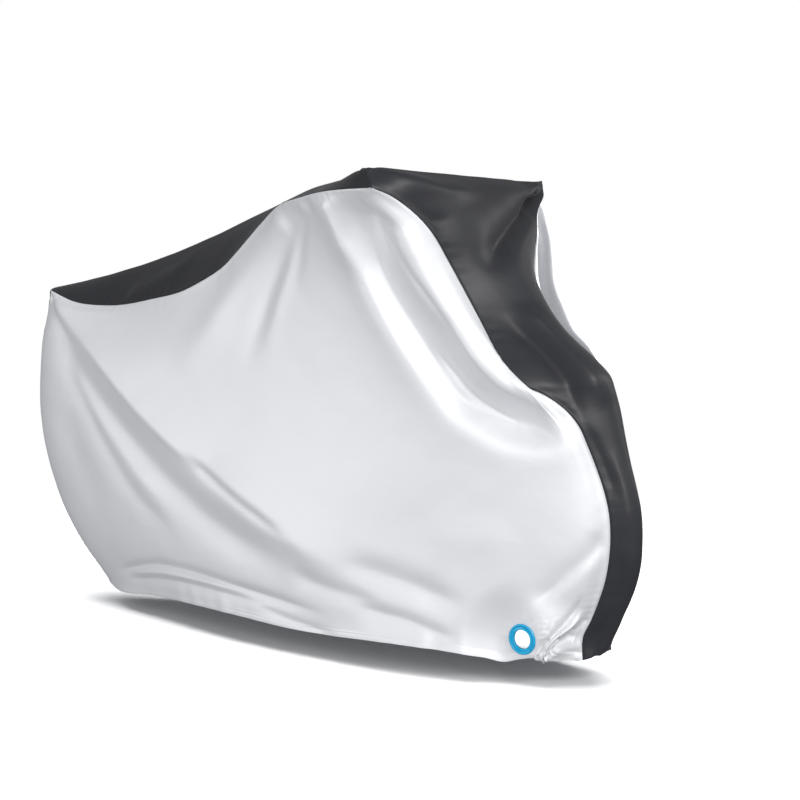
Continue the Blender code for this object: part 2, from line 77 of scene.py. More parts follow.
class Nodes:  # one node tree
    def __init__(self, tree):
        self.tree = tree

    def add(self, kind, settings=None, sockets=None, out=0):
        node = self.tree.nodes.new(kind)
        for key, value in (settings or {}).items():
            setattr(node, key, value)
        for key, value in (sockets or {}).items():
            self.join(node.inputs[key], value)
        return Wire(self, node.outputs[out])

    def join(self, socket, value):
        if isinstance(value, Wire):
            self.tree.links.new(value.socket, socket)
        else:
            socket.default_value = value

    def maths(self, operation, *values):
        return self.add("ShaderNodeMath", {"operation": operation}, dict(enumerate(values)))

    def vector(self, operation, *values, out=0):
        return self.add("ShaderNodeVectorMath", {"operation": operation}, dict(enumerate(values)), out)

    def ranged(self, value, fromMin, fromMax, toMin, toMax, kind="LINEAR"):
        return self.add("ShaderNodeMapRange", {"interpolation_type": kind}, {
            "Value": value, "From Min": fromMin, "From Max": fromMax, "To Min": toMin, "To Max": toMax})

    def blend(self, share, first, second):
        return self.add("ShaderNodeMix", {"data_type": "RGBA"}, {0: share, 6: first, 7: second}, out=2)

    def noise(self, place, scale, detail, roughness):
        return self.add("ShaderNodeTexNoise", {"noise_dimensions": "3D"},
                        {"Vector": place, "Scale": scale, "Detail": detail, "Roughness": roughness})

    def bump(self, height, distance, strength=1.0, under=None):
        sockets = {"Strength": strength, "Distance": distance, "Height": height}
        if under:
            sockets["Normal"] = under
        return self.add("ShaderNodeBump", None, sockets)


class Paint(Nodes):  # one material, built from its shader outwards
    def __init__(self, name, constants):
        self.material = bpy.data.materials.new(name)
        self.material.use_nodes = True
        super().__init__(self.material.node_tree)
        self.shader = self.tree.nodes["Principled BSDF"]
        for socket, value in constants.items():
            self.feed(socket, value)

    def feed(self, socket, value):
        self.join(self.shader.inputs[socket], value)


# Camera, floor and light

shot = {
    "target": (-0.165, 0.0, -0.497),
    "azimuth": 37.5,
    "elevation": 6.1,
    "distance": 4.46,
    "lens": 90.0,
    "sensor": 36.0,
    "roll": 0.17,
}


def placeCamera(settings):
    turn = math.radians(settings["azimuth"])
    rise = math.radians(settings["elevation"])
    away = Vector((math.sin(turn) * math.cos(rise), -math.cos(turn) * math.cos(rise), math.sin(rise)))
    camera = addObject("camera", bpy.data.cameras.new("camera"))
    camera.data.lens = settings["lens"]
    camera.data.sensor_width = settings["sensor"]
    camera.location = Vector(settings["target"]) + away * settings["distance"]
    aim = away.to_track_quat("Z", "Y").to_matrix().to_4x4()
    camera.rotation_euler = (aim @ Matrix.Rotation(math.radians(settings["roll"]), 4, "Z")).to_euler()
    bpy.context.scene.camera = camera


studio = {
    "floorMiddle": (-0.2, 0.0),
    "floorRadius": 2.6,
    "floorFade": 1.5,  # the paper is whole this far out and melts into the white room beyond
    "floorCorners": 96,
    "floorPaint": {"Base Color": (0.90, 0.90, 0.905, 1.0), "Roughness": 0.85, "Specular IOR Level": 0.15},
    "backdrop": (1.0, 1.0, 1.0, 1.0),
    "roomColour": (0.93, 0.95, 1.0, 1.0),
    "roomBelow": 0.48,
    "roomAbove": 0.46,
    "roomTurn": 0.25,  # height up and down, of 1, over which one becomes the other
    "roomInGloss": 0.50,  # share of the room that glossy cloth mirrors
    "brightSide": (0.60, -0.75, 0.25),
    "sideTurn": 0.8,
    "sideLevels": (0.50, 1.28),  # room opposite its bright side, and on it
    "lamps": (  # name, place, aim, width, height, watts, colour if not white
        ("key", (3.75, -1.5, 1.5), (0.0, 0.0, -0.5), 1.5, 1.5, 82.0, (1.0, 0.995, 0.985)),
        ("fill", (2.0, -4.2, 0.8), (-0.1, 0.0, -0.5), 2.8, 2.8, 86.0),
        ("far side", (1.2, 3.5, 1.2), (0.2, 0.0, -0.3), 1.2, 1.2, 150.0),
        ("black fill", (3.3, -3.4, 0.8), (-0.1, 0.0, -0.5), 2.2, 2.2, 196.0),
        ("tail", (-2.4, -3.2, -0.6), (-0.6, 0.0, -0.8), 1.6, 1.0, 20.0),
        ("satin front", (3.6, 0.3, 1.7), (0.3, 0.0, -0.1), 2.4, 2.4, 17.0),
        ("satin far", (2.0, 3.3, 0.9), (0.3, 0.0, -0.1), 1.8, 1.6, 20.0),
        ("strip", (2.2, 2.45, 2.2), (0.3, 0.0, -0.2), 1.4, 1.4, 34.0),
        ("top", (-0.2, 0.0, 3.2), (-0.2, 0.0, -0.5), 3.5, 3.5, 40.0),
        ("floor wash", (-0.7, 0.1, 3.0), (-0.3, 0.0, -1.0), 5.0, 5.0, 420.0),
    ),
    "unmirrored": ("black fill", "top"),  # leave no highlight on the satin
    "mirroredOnly": ("satin front", "satin far"),  # highlights on the black cloth and nothing else
}


def addLamp(name, place, aim, width, height, watts, colour=(1.0, 1.0, 1.0)):
    light = bpy.data.lights.new(name, "AREA")
    light.shape = "RECTANGLE"
    light.size = width
    light.size_y = height
    light.energy = watts
    light.color = colour
    lamp = addObject(name, light)
    lamp.location = place
    lamp.rotation_euler = (Vector(place) - Vector(aim)).to_track_quat("Z", "Y").to_euler()
    return lamp


def lightOnly(lamp, things, without=False):  # the lamp lights these things alone, or all but these
    group = bpy.data.collections.new(f"{lamp.name} group")
    for thing in things:
        group.objects.link(thing)
    if without:
        for member in group.collection_objects:
            member.light_linking.link_state = "EXCLUDE"
    lamp.light_linking.receiver_collection = group


def buildRoom(settings):  # white for the eye, dimmer as a light
    world = bpy.data.worlds.new("white room")
    bpy.context.scene.world = world
    world.use_nodes = True
    nodes = Nodes(world.node_tree)
    nodes.tree.nodes.clear()
    way = nodes.add("ShaderNodeTexCoord")
    height = nodes.add("ShaderNodeSeparateXYZ", None, {0: way}, out="Z")
    level = nodes.ranged(height, -settings["roomTurn"], settings["roomTurn"],
                         settings["roomBelow"], settings["roomAbove"])
    facing = nodes.vector("DOT_PRODUCT", way, settings["brightSide"], out="Value")
    sided = nodes.ranged(facing, -settings["sideTurn"], settings["sideTurn"], *settings["sideLevels"])
    ray = nodes.add("ShaderNodeLightPath", out="Is Camera Ray")
    mirrored = 1 - (1 - settings["roomInGloss"]) * ray.twin("Is Glossy Ray")
    room = nodes.add("ShaderNodeBackground", None, {
        "Color": settings["roomColour"], "Strength": level * sided * mirrored})
    seen = nodes.add("ShaderNodeBackground", None, {"Color": settings["backdrop"]})
    mix = nodes.add("ShaderNodeMixShader", None, {0: ray, 1: room, 2: seen})
    nodes.join(nodes.tree.nodes.new("ShaderNodeOutputWorld").inputs[0], mix)


def buildFloor(settings):
    corners, radius = settings["floorCorners"], settings["floorRadius"]
    angles = [2 * math.pi * k / corners for k in range(corners)]
    mesh = bpy.data.meshes.new("floor")
    mesh.from_pydata([(radius * math.cos(angle), radius * math.sin(angle), 0.0) for angle in angles],
                     [], [list(range(corners))])
    floor = addObject("floor", mesh)
    floor.location = (*settings["floorMiddle"], -handlebar[2])
    floor.visible_diffuse = False
    floor.visible_glossy = False
    paper = Paint("pale floor", settings["floorPaint"])
    place = paper.add("ShaderNodeTexCoord", out="Object")
    reach = paper.vector("LENGTH", place, out="Value")
    paper.feed("Alpha", paper.ranged(reach, settings["floorFade"], radius, 1.0, 0.0, "SMOOTHSTEP"))
    mesh.materials.append(paper.material)
    return floor


def buildStudio(settings):
    bpy.context.scene.view_settings.view_transform = "Standard"
    buildRoom(settings)
    floor = buildFloor(settings)
    lamps = {lamp[0]: addLamp(*lamp) for lamp in settings["lamps"]}
    for name in settings["unmirrored"]:
        lamps[name].visible_glossy = False
    for name in settings["mirroredOnly"]:
        lamps[name].visible_diffuse = False
    lightOnly(lamps["floor wash"], [floor])
    return lamps


placeCamera(shot)
lamps = buildStudio(studio)
print("camera, floor and light placed")


# Materials

weave = {  # of both cloths
    "thickness": 0.0010,
    "yarn": 0.0011,
    "rumple": (3.0, 0.55),  # detail and roughness of each noise
    "rumpleStretch": (1.0, 1.0, 0.6),
    "crease": (2.0, 0.45),
    "creaseStretch": (0.45, 1.0, 1.3),
    "slub": (1.0, 1.0, 0.5),  # scale, detail and roughness
    "slubStretch": (40.0, 900.0, 1.0),
    "wear": (5.0, 3.0, 0.6),
}


def wovenCloth(name, settings):
    paint = Paint(name, settings["constants"])
    cut = paint.add("ShaderNodeUVMap", {"uv_map": "cut"})  # metres along and across the cloth
    place = paint.add("ShaderNodeTexCoord", out="Object")
    across = paint.add("ShaderNodeSeparateXYZ", None, {0: cut})
    turns = 2 * math.pi / weave["yarn"]
    warp = paint.maths("SINE", across * turns)
    weft = paint.maths("SINE", across.twin(1) * turns)
    crossing = warp * weft * 0.5 + 0.5
    rumple = paint.noise(paint.vector("MULTIPLY", place, weave["rumpleStretch"]),
                         settings["rumpleScale"], *weave["rumple"])
    crease = paint.noise(paint.vector("MULTIPLY", place, weave["creaseStretch"]),
                         settings["creaseScale"], *weave["crease"])
    slub = paint.noise(paint.vector("MULTIPLY", cut, weave["slubStretch"]), *weave["slub"])  # uneven yarns
    wear = paint.noise(place, *weave["wear"])
    paint.feed("Base Color", paint.blend(wear * 0.6 + slub * 0.25 + crossing * 0.15, *settings["colours"]))
    low, high = settings["roughness"]
    paint.feed("Roughness", low + (high - low) * (wear * 0.7 + slub * 0.3))
    fine = paint.bump(crossing * 0.8 + slub * 0.2, settings["yarnHeight"])
    paint.feed("Normal", paint.bump(rumple * 0.55 + crease * 0.45, settings["rumpleHeight"], under=fine))
    return paint.material


silverCloth = wovenCloth("silver cloth", {
    "constants": {"Metallic": 0.34, "IOR": 1.45, "Sheen Weight": 0.06, "Sheen Roughness": 0.4},
    "colours": ((0.76, 0.765, 0.78, 1.0), (0.83, 0.835, 0.85, 1.0)),
    "roughness": (0.47, 0.56),
    "yarnHeight": 0.000010,
    "rumpleScale": 14.0,
    "rumpleHeight": 0.0010,
    "creaseScale": 34.0,
})
blackCloth = wovenCloth("black cloth", {
    "constants": {"IOR": 1.45, "Specular IOR Level": 0.70, "Sheen Weight": 0.05, "Sheen Roughness": 0.4},
    "colours": ((0.012, 0.0123, 0.0147, 1.0), (0.019, 0.0195, 0.0228, 1.0)),
    "roughness": (0.45, 0.52),
    "yarnHeight": 0.000012,
    "rumpleScale": 13.0,
    "rumpleHeight": 0.0012,
    "creaseScale": 30.0,
})


def mouldedPlastic(name, settings):
    paint = Paint(name, settings["constants"])
    place = paint.add("ShaderNodeTexCoord", out="Object")
    swirl = paint.noise(place, *settings["swirl"])
    paint.feed("Base Color", paint.blend(swirl, *settings["colours"]))
    low, high = settings["roughness"]
    paint.feed("Roughness", low + (high - low) * swirl)
    paint.feed("Normal", paint.bump(paint.noise(place, *settings["grain"]), settings["grainHeight"], 0.5))
    return paint.material


blueRing = mouldedPlastic("blue eyelet plastic", {
    "constants": {"IOR": 1.48},
    "colours": ((0.004, 0.30, 0.56, 1.0), (0.012, 0.42, 0.70, 1.0)),
    "roughness": (0.20, 0.34),
    "swirl": (60.0, 2.0, 0.5),
    "grain": (1400.0, 1.0, 0.5),
    "grainHeight": 0.00006,
})
print("materials mixed")


# Shape of the cover: sections across the middle panel, and the lines its sides are drawn between

Section = namedtuple("Section", "seamX halfWidth seamZ midX midZ lean crown")

rearTop = (-801, 100, 780, -850, 786, 0, 1.6)  # where the rear strip meets the top
gripTop = (376, 320, 1035, 385, 1063, 15, 34.0)  # over the handlebar grips


def metres(*rows):  # from millimetres: sections, all but their crown, or (x, half width, z) points
    rows = np.array(rows, dtype=float)
    rows[:, :6] /= 1000
    return rows


cover = {
    "rearSections": metres(  # rear hem up to the rear corner
        (-652, 50, 52, -680, 54, 0, 1.7), (-748, 54, 157, -782, 159, 0, 1.7),
        (-793, 55, 216, -828, 218, 0, 1.7), (-856, 55, 350, -893, 352, 0, 1.7),
        (-880, 58, 475, -918, 478, 0, 1.7), (-864, 70, 600, -900, 606, 0, 1.6),
        rearTop,
    ),
    "topSections": metres(  # rear corner to the handlebar grips
        rearTop,
        (-702, 108, 754, -730, 810, 0, 1.5), (-599, 108, 750, -615, 836, 0, 1.4),
        (-425, 130, 772, -445, 884, 0, 1.3), (-276, 150, 808, -310, 930, 0, 1.3),
        (-175, 150, 877, -205, 970, 0, 1.3), (-95, 160, 946, -120, 1001, 0, 1.3),
        (6, 190, 991, -15, 1036, 0, 1.35), (143, 250, 1016, 130, 1060, 4, 1.7),
        (221, 280, 1027, 215, 1064, 8, 2.6), (312, 305, 1033, 300, 1064, 13, 12.0),
        gripTop,
    ),
    "frontSections": metres(  # handlebar grips down to the front hem
        gripTop,
        (412, 286, 1020, 428, 1040, 10, 10.0), (434, 244, 990, 460, 1005, 5, 4.0),
        (449, 212, 960, 486, 970, 0, 2.6), (475, 154, 870, 536, 874, 0, 1.7),
        (501, 134, 810, 575, 816, 0, 1.6), (540, 132, 750, 620, 760, 0, 1.6),
        (593, 150, 690, 680, 706, 0, 1.6), (640, 155, 646, 742, 662, 0, 1.6),
        (685, 120, 616, 768, 622, 0, 1.6), (730, 88, 573, 783, 572, 0, 1.7),
        (762, 62, 492, 806, 494, 0, 1.8), (800, 50, 360, 843, 360, 0, 1.8),
        (795, 48, 256, 842, 254, 0, 1.8), (750, 43, 134, 797, 134, 0, 1.8),
        (732, 42, 95, 779, 95, 0, 1.8), (735, 45, 56, 764, 60, 0, 1.8),
    ),
    "hem": metres(
        (-652, 50, 52), (-600, 78, 46), (-405, 130, 61), (-124, 190, 67), (98, 205, 61), (373, 200, 67),
        (532, 165, 60), (595, 135, 48), (656, 110, 66), (698, 80, 57), (735, 45, 56),
    ),
    "rearCorner": metres(
        (-610, 73, 47), (-727, 93, 160), (-798, 103, 281), (-839, 113, 418), (-832, 123, 557),
        (-792, 121, 716), (-755, 103, 766),
    ),
    "frontCorner": metres(
        (698, 80, 57), (740, 85, 170), (775, 90, 310), (752, 96, 440), (705, 135, 575), (649, 184, 655),
        (568, 216, 742), (489, 264, 853), (469, 272, 920), (432, 296, 985), (352, 315, 1034),
    ),
    "swells": (  # height up a side, and how far it swells there at its rear and front
        (0.0, 0.0, 0.0), (0.15, 0.03, 0.03), (0.35, 0.045, 0.035), (0.6, 0.05, 0.01), (0.8, 0.045, 0.0),
        (1.0, 0.0, 0.0),
    ),
    "swellRise": 0.12,  # share of a side over which its swell begins
    "rearStrip": 2,  # cells of the coarse grids
    "sideColumns": 32,
    "frontStrip": 4,
    "rows": 26,
    "across": 8,
    "tautPasses": 400,
    "settlePasses": 2,
    "cornerPasses": (1, 7),  # how far each front corner is rounded below its grip, left and right
    "cornerRow": 14,
    "cornerColumns": 3,
    "roundCrown": 2.0,  # flatter crowns than this are cut wider, up to the widest
    "crownStep": 8.0,
    "widest": 4.5,
}

coverColumns = cover["rearStrip"] + cover["sideColumns"] + cover["frontStrip"]


def along(rows, shares):  # smooth curve through the rows, read at shares of its length
    rows = np.array(rows, dtype=float)
    steps = np.linalg.norm(np.diff(rows[:, :3], axis=0), axis=1)
    reach = np.concatenate(([0.0], np.cumsum(steps)))
    slopes = np.diff(rows, axis=0) / steps[:, None]
    tangents = np.empty_like(rows)
    tangents[0] = slopes[0]
    tangents[-1] = slopes[-1]
    before, after = steps[:-1, None], steps[1:, None]
    tangents[1:-1] = (slopes[:-1] * after + slopes[1:] * before) / (before + after)
    place = np.asarray(shares) * reach[-1]
    index = np.clip(np.searchsorted(reach, place, side="right") - 1, 0, len(steps) - 1)
    run = steps[index][:, None]
    t = (place - reach[index])[:, None] / run
    return (rows[index] * (2 * t**3 - 3 * t**2 + 1) + tangents[index] * run * (t**3 - 2 * t**2 + t)
            + rows[index + 1] * (3 * t**2 - 2 * t**3) + tangents[index + 1] * run * (t**3 - t**2))


def leftCurve(rows, shares):
    return along(rows, shares)[:, :3]


def shareNearest(rows, point):
    shares = np.linspace(0.0, 1.0, 2001)
    reach = np.linalg.norm(leftCurve(rows, shares) - np.array(point), axis=1)
    return shares[int(np.argmin(reach))]


def edgeShares(rows, rearPoint, frontPoint):
    rear = shareNearest(rows, rearPoint)
    front = shareNearest(rows, frontPoint)
    return np.concatenate((
        np.linspace(0.0, rear, cover["rearStrip"] + 1)[:-1],
        np.linspace(rear, front, cover["sideColumns"] + 1),
        np.linspace(front, 1.0, cover["frontStrip"] + 1)[1:],
    ))


def relax(grid, passes):  # draw each inner point towards its neighbours, like taut cloth
    for _ in range(passes):
        grid[1:-1, 1:-1] = 0.25 * (grid[:-2, 1:-1] + grid[2:, 1:-1] + grid[1:-1, :-2] + grid[1:-1, 2:])
    return grid


def stretched(bottom, top, rear, front):  # sheet spanned between four edges
    u = np.linspace(0.0, 1.0, len(bottom))[None, :, None]
    v = np.linspace(0.0, 1.0, len(rear))[:, None, None]
    patch = (1 - v) * bottom[None] + v * top[None] + (1 - u) * rear[:, None] + u * front[:, None]
    patch -= ((1 - u) * (1 - v) * bottom[0] + u * (1 - v) * bottom[-1]
              + (1 - u) * v * top[0] + u * v * top[-1])
    return patch


def sideGrid(passes):  # left side, rows from hem to top and columns from rear to front
    rearCorner, frontCorner = cover["rearCorner"], cover["frontCorner"]
    hemRows, topRows = cover["hem"], cover["topSections"]
    heights = np.linspace(0.0, 1.0, cover["rows"] + 1)
    hem = leftCurve(hemRows, edgeShares(hemRows, rearCorner[0], frontCorner[0]))
    top = leftCurve(topRows, edgeShares(topRows, rearCorner[-1], frontCorner[-1]))
    first, last = cover["rearStrip"], cover["rearStrip"] + cover["sideColumns"]
    rear = leftCurve(rearCorner, heights)
    front = leftCurve(frontCorner, heights)
    rear[0], rear[-1] = hem[first], top[first]
    front[0], front[-1] = hem[last], top[last]
    side = relax(stretched(hem[first:last + 1], top[first:last + 1], rear, front), cover["tautPasses"])
    u = np.linspace(0.0, 1.0, cover["sideColumns"] + 1)[None, :]
    levels, rearSwell, frontSwell = np.array(cover["swells"]).T
    rearSwell = np.interp(heights, levels, rearSwell)[:, None]
    frontSwell = np.interp(heights, levels, frontSwell)[:, None]
    rise = (1 - np.exp(-u / cover["swellRise"])) * (1 - np.exp(-(1 - u) / cover["swellRise"]))
    side[..., 1] += (rearSwell * (1 - u) + frontSwell * u) * rise
    rearSeam = leftCurve(cover["rearSections"], heights)
    frontSeam = leftCurve(cover["frontSections"], 1 - heights)
    rearStrip = np.linspace(rearSeam, side[:, 0], first + 1, axis=1)
    frontStrip = np.linspace(side[:, -1], frontSeam, cover["frontStrip"] + 1, axis=1)
    grid = np.concatenate((rearStrip[:, :-1], side, frontStrip[:, 1:]), axis=1)
    grid[0] = hem
    grid[-1] = top
    relax(grid, cover["settlePasses"])
    relax(grid[cover["cornerRow"]:, last - cover["cornerColumns"]:], passes)
    return grid


def sectionPoints(row):  # across the middle panel, right seam to left seam
    section = Section(*row)
    spread = min(1 + max(0.0, section.crown - cover["roundCrown"]) / cover["crownStep"], cover["widest"])
    steps = np.linspace(-1.0, 1.0, cover["across"] + 1)
    over = np.sign(steps) * np.abs(steps) ** (1 / spread)
    fullness = 1 - np.abs(over) ** section.crown
    return np.stack((
        section.seamX + (section.midX - section.seamX) * fullness,
        section.halfWidth * over,
        section.seamZ + (section.midZ - section.seamZ) * fullness - section.lean * over * fullness,
    ), axis=-1)


def centreBlocks():  # rear, top and front stretch of the middle panel
    heights = np.linspace(0.0, 1.0, cover["rows"] + 1)
    topShares = edgeShares(cover["topSections"], cover["rearCorner"][-1], cover["frontCorner"][-1])
    stretches = (("rearSections", heights), ("topSections", topShares), ("frontSections", heights))
    return [np.array([sectionPoints(row) for row in along(cover[name], shares)])
            for name, shares in stretches]


def outward(grid):  # unit normals, out of the cover
    normals = np.cross(np.gradient(grid, axis=0), np.gradient(grid, axis=1))
    return normals / np.maximum(np.linalg.norm(normals, axis=-1, keepdims=True), 1e-12)


def finer(grid, places):  # smooth rows between the rows of a coarse grid
    padded = np.concatenate((2 * grid[:1] - grid[1:2], grid, 2 * grid[-1:] - grid[-2:-1]))
    index = np.minimum(places.astype(int), len(grid) - 2)
    t = (places - index).reshape(-1, *[1] * (grid.ndim - 1))
    a, b, c, d = padded[index], padded[index + 1], padded[index + 2], padded[index + 3]
    return b + 0.5 * t * (c - a + t * (2 * a - 5 * b + 4 * c - d + t * (3 * (b - c) + d - a)))


def finePlaces(cells, breaks, near, far):  # breaks are (up to this cell, parts to a cell)
    steps = [1.0]
    for end, parts in breaks:
        steps += list(np.linspace(steps[-1], end, int(round((end - steps[-1]) * parts)) + 1)[1:])
    return np.concatenate((np.array(near), steps, cells - np.array(far)[::-1]))


def fineGrid(grid, rowPlaces, columnPlaces):
    return finer(finer(grid, rowPlaces).swapaxes(0, 1), columnPlaces).swapaxes(0, 1)


# Folds, seams and hems

Fold = namedtuple("Fold", "height left right sharp fadeIn fadeOut path")  # as the tables list them


def readFold(height, left, right, sharp, fadeIn, fadeOut, *path):  # its lengths are in millimetres
    return Fold(height / 1000, left / 1000, right / 1000, sharp, fadeIn, fadeOut, np.array(path) / 1000)


def smoothStep(value):
    value = np.clip(value, 0.0, 1.0)
    return value * value * (3 - 2 * value)


def rising(value, start, end):  # 0 up to the start, 1 from the end
    return smoothStep((value - start) / (end - start))


def beside(distance, reach, power=2):  # 1 on a line, and next to nothing at twice its reach
    return np.exp(-(distance / reach) ** power)


def foldShape(fold, share, side, distance):  # share of its length, and distance to its line
    width = np.where(side > 0, fold.left, fold.right)
    fade = smoothStep(share / fold.fadeIn) * smoothStep((1 - share) / fold.fadeOut)
    return fold.height * fade * beside(distance, width, fold.sharp)


def foldHeight(spots, folds):  # height of all the folds at flat spots
    total = np.zeros(spots.shape[:-1])
    for fold in [readFold(*row) for row in folds]:
        path = np.insert(fold.path, 1, 0.0, axis=1)
        path = along(path, np.linspace(0.0, 1.0, 8 * len(path)))[:, [0, 2]]
        runs = np.linalg.norm(np.diff(path, axis=0), axis=1)
        starts = np.concatenate(([0.0], np.cumsum(runs)))
        nearest = np.full(total.shape, np.inf)
        side = np.zeros(total.shape)
        share = np.zeros(total.shape)
        for start, end, run, begun in zip(path[:-1], path[1:], runs, starts):
            direction = (end - start) / run
            offset = spots - start
            place = np.clip(offset @ direction, 0.0, run)
            gap = offset - place[..., None] * direction
            distance = np.linalg.norm(gap, axis=-1)
            closer = distance < nearest
            nearest = np.where(closer, distance, nearest)
            side = np.where(closer, direction[0] * gap[..., 1] - direction[1] * gap[..., 0], side)
            share = np.where(closer, (begun + place) / starts[-1], share)
        total += foldShape(fold, share, side, nearest)
    return total


def seamFoldHeight(height, distance, folds):  # folds beside the front seam; left is their seam side
    total = np.zeros(distance.shape)
    for fold in [readFold(*row) for row in folds]:
        levels, reach = fold.path.T
        gap = distance - np.interp(height, levels, reach)
        total += foldShape(fold, (height - levels[0]) / (levels[-1] - levels[0]), -gap, np.abs(gap))
    return total


def edgeDistance(grid, axis, fromEnd):  # metres from one edge, along the grid's own lines
    steps = np.linalg.norm(np.diff(grid, axis=axis), axis=-1)
    if fromEnd:
        steps = np.flip(steps, axis=axis)
    first = np.zeros_like(np.take(steps, [0], axis=axis))
    reach = np.concatenate((first, np.cumsum(steps, axis=axis)), axis=axis)
    return np.flip(reach, axis=axis) if fromEnd else reach


def edgeDistances(grid):  # from its first and last column, and from its first and last row
    return [edgeDistance(grid, axis, fromEnd) for axis in (1, 0) for fromEnd in (False, True)]


def ripple(run, seed, height, wave, count=7):  # uneven little waves along a line
    chance = np.random.default_rng(seed)
    total = np.zeros_like(run)
    for _ in range(count):
        length = wave * chance.uniform(0.6, 1.9)
        total += np.sin(2 * math.pi * run / length + chance.uniform(0, 2 * math.pi))
    swell = 0.55 + 0.45 * np.sin(2 * math.pi * run / (wave * 9) + chance.uniform(0, 6))
    return height * (total / count * 1.8 * swell)


def rumple(spots, seed, height, wave, count=26):  # slight unevenness all over
    chance = np.random.default_rng(seed)
    total = np.zeros(spots.shape[:-1])
    for _ in range(count):
        turn = chance.uniform(0, math.pi)
        number = 2 * math.pi / (wave * chance.uniform(0.55, 1.8))
        heading = np.array((math.cos(turn), math.sin(turn))) * number
        total += np.sin(spots @ heading + chance.uniform(0, 2 * math.pi))
    return height * (total / math.sqrt(count) * 0.7)


tugs = np.array((  # small pulls on all the cloth near one spot: reach, place and move, in millimetres
    (22, 378, 324, 1030, 0, 10, 18),
    (60, 565, 140, 715, 0, -26, 0),
    (60, 490, 140, 830, 0, -8, 0),
    (50, 435, 235, 980, 0, -16, 0),
    (45, 660, 140, 632, -5, -5, 0),
    # on the near top seam, towards the grip, and at the foot of the front
    (120, -90, -160, 920, 34, 0, 0),
    (65, -200, -150, 850, 16, 0, 0),
    (30, 376, -320, 1035, 12, 0, 0),
    (45, 764, 10, 60, 4, 0, 14),
)) / 1000
gripTug = np.array((42, 385, -290, 1060, -26, 0, -4)) / 1000  # on the middle cloth alone


def pulled(grid, tug):
    reach, place, move = tug[0], tug[1:4], tug[4:]
    return grid + beside(np.linalg.norm(grid - place, axis=-1), reach)[..., None] * move


def tugged(grid, mirror):  # mirror is -1 for a right side that is still drawn on the left
    moved = grid * (1.0, mirror, 1.0)
    for tug in tugs:
        moved = pulled(moved, tug)
    return moved * (1.0, mirror, 1.0)


seam = {
    "drop": 0.0013,  # how deep both cloths turn in at a seam
    "dropReach": 0.0028,
    "roll": 0.0004,  # rolled edge beside it
    "rollPlace": 0.0060,
    "rollWidth": 0.0030,
    "pucker": (0.0009, 0.024),  # each wave is its height and length
    "puckerPeak": 0.010,
    "foldEdge": 0.002,  # of the band along a hem
    "stitchWidth": 0.0014,
}


def seamShape(distance, drop, normal, run, seed):  # how the cloth moves beside one seam
    fall = beside(distance, seam["dropReach"])[..., None]
    roll = seam["roll"] * beside(distance - seam["rollPlace"], seam["rollWidth"])
    peak = distance / seam["puckerPeak"] * np.exp(1 - distance / seam["puckerPeak"])
    waves = ripple(run, seed, *seam["pucker"]) * peak
    return fall, drop * fall + normal * (roll + waves)[..., None]


def hemmed(grid, toHem, settings):  # folded band along the hem, with its rows of stitching sunk in
    edge = settings["hemBand"] + seam["foldEdge"] / 2
    lift = settings["hemStep"] * smoothStep((edge - toHem) / seam["foldEdge"])
    for place in settings["hemStitches"]:
        lift = lift - settings["hemGroove"] * beside(toHem - place, seam["stitchWidth"])
    return grid + outward(grid) * lift[..., None]


def clothObject(name, grid, cutSize, material):
    rows, columns = grid.shape[:2]
    corners = np.arange(rows * columns).reshape(rows, columns)
    faces = np.stack((corners[:-1, :-1], corners[:-1, 1:], corners[1:, 1:], corners[1:, :-1]), axis=-1)
    mesh = bpy.data.meshes.new(name)
    mesh.from_pydata((grid - handlebar).reshape(-1, 3).tolist(), [], faces.reshape(-1, 4).tolist())
    layer = mesh.uv_layers.new(name="cut")
    layer.data.foreach_set("uv", cutSize.reshape(-1, 2)[faces.reshape(-1)].ravel())
    mesh.materials.append(material)
    mesh.shade_smooth()
    piece = addObject(name, mesh)
    solid = piece.modifiers.new("Thickness", "SOLIDIFY")
    solid.thickness = weave["thickness"]
    solid.offset = -1.0
    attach(piece, "root")
    return piece


def cutPlaces(grid):  # metres along and across the cloth, for its weave
    return np.stack((edgeDistance(grid, 1, False), edgeDistance(grid, 0, False)), axis=-1)


# Eyelet places

eyelet = {
    "centre": (0.635, 0.12, 0.102),
    "facing": (0.02, 0.99, -0.04),
    "profile": (  # millimetres from its axis and out of the cloth
        (26.55, 2.9), (28.15, 3.1), (28.4, 3.9), (29.6, 4.3), (30.8, 4.0), (31.9, 3.1),
        (32.6, 1.9), (32.8, 1.3), (32.2, 0.9), (22.8, 0.9), (22.8, -1.1), (30.6, -1.1),
        (31.2, -1.7), (30.8, -2.8), (30.0, -3.1), (21.3, -3.1), (20.5, -2.8), (20.3, -2.1),
        (20.3, 1.3), (20.5, 2.7), (21.2, 3.7), (22.3, 4.1), (23.5, 3.8), (24.9, 3.1),
    ),
    "turns": 96,
    "clothEdge": 0.0232,  # where the cloth ends, under the ring
    "cut": 0.0213,
    "cutDepth": 0.03,
    "edgeWithin": 0.034,
    "flatRadius": 0.038,
    "flatFade": 0.130,
    "flatToSeam": 0.03,
    "pucker": 0.0007,
    "puckerPlace": 0.042,
    "puckerWidth": 0.010,
    "puckerCounts": (5, 8, 11),
}


def eyeletPlace(mirror):
    centre, facing = [np.array(eyelet[name]) * (1, mirror, 1) for name in ("centre", "facing")]
    return centre, facing / np.linalg.norm(facing)


def aroundEyelet(spots, mirror):  # height over its plane, way out from its axis and distance to it
    centre, facing = eyeletPlace(mirror)
    offset = spots - centre
    out = offset @ facing
    flat = offset - out[..., None] * facing
    return out, flat, np.linalg.norm(flat, axis=-1)


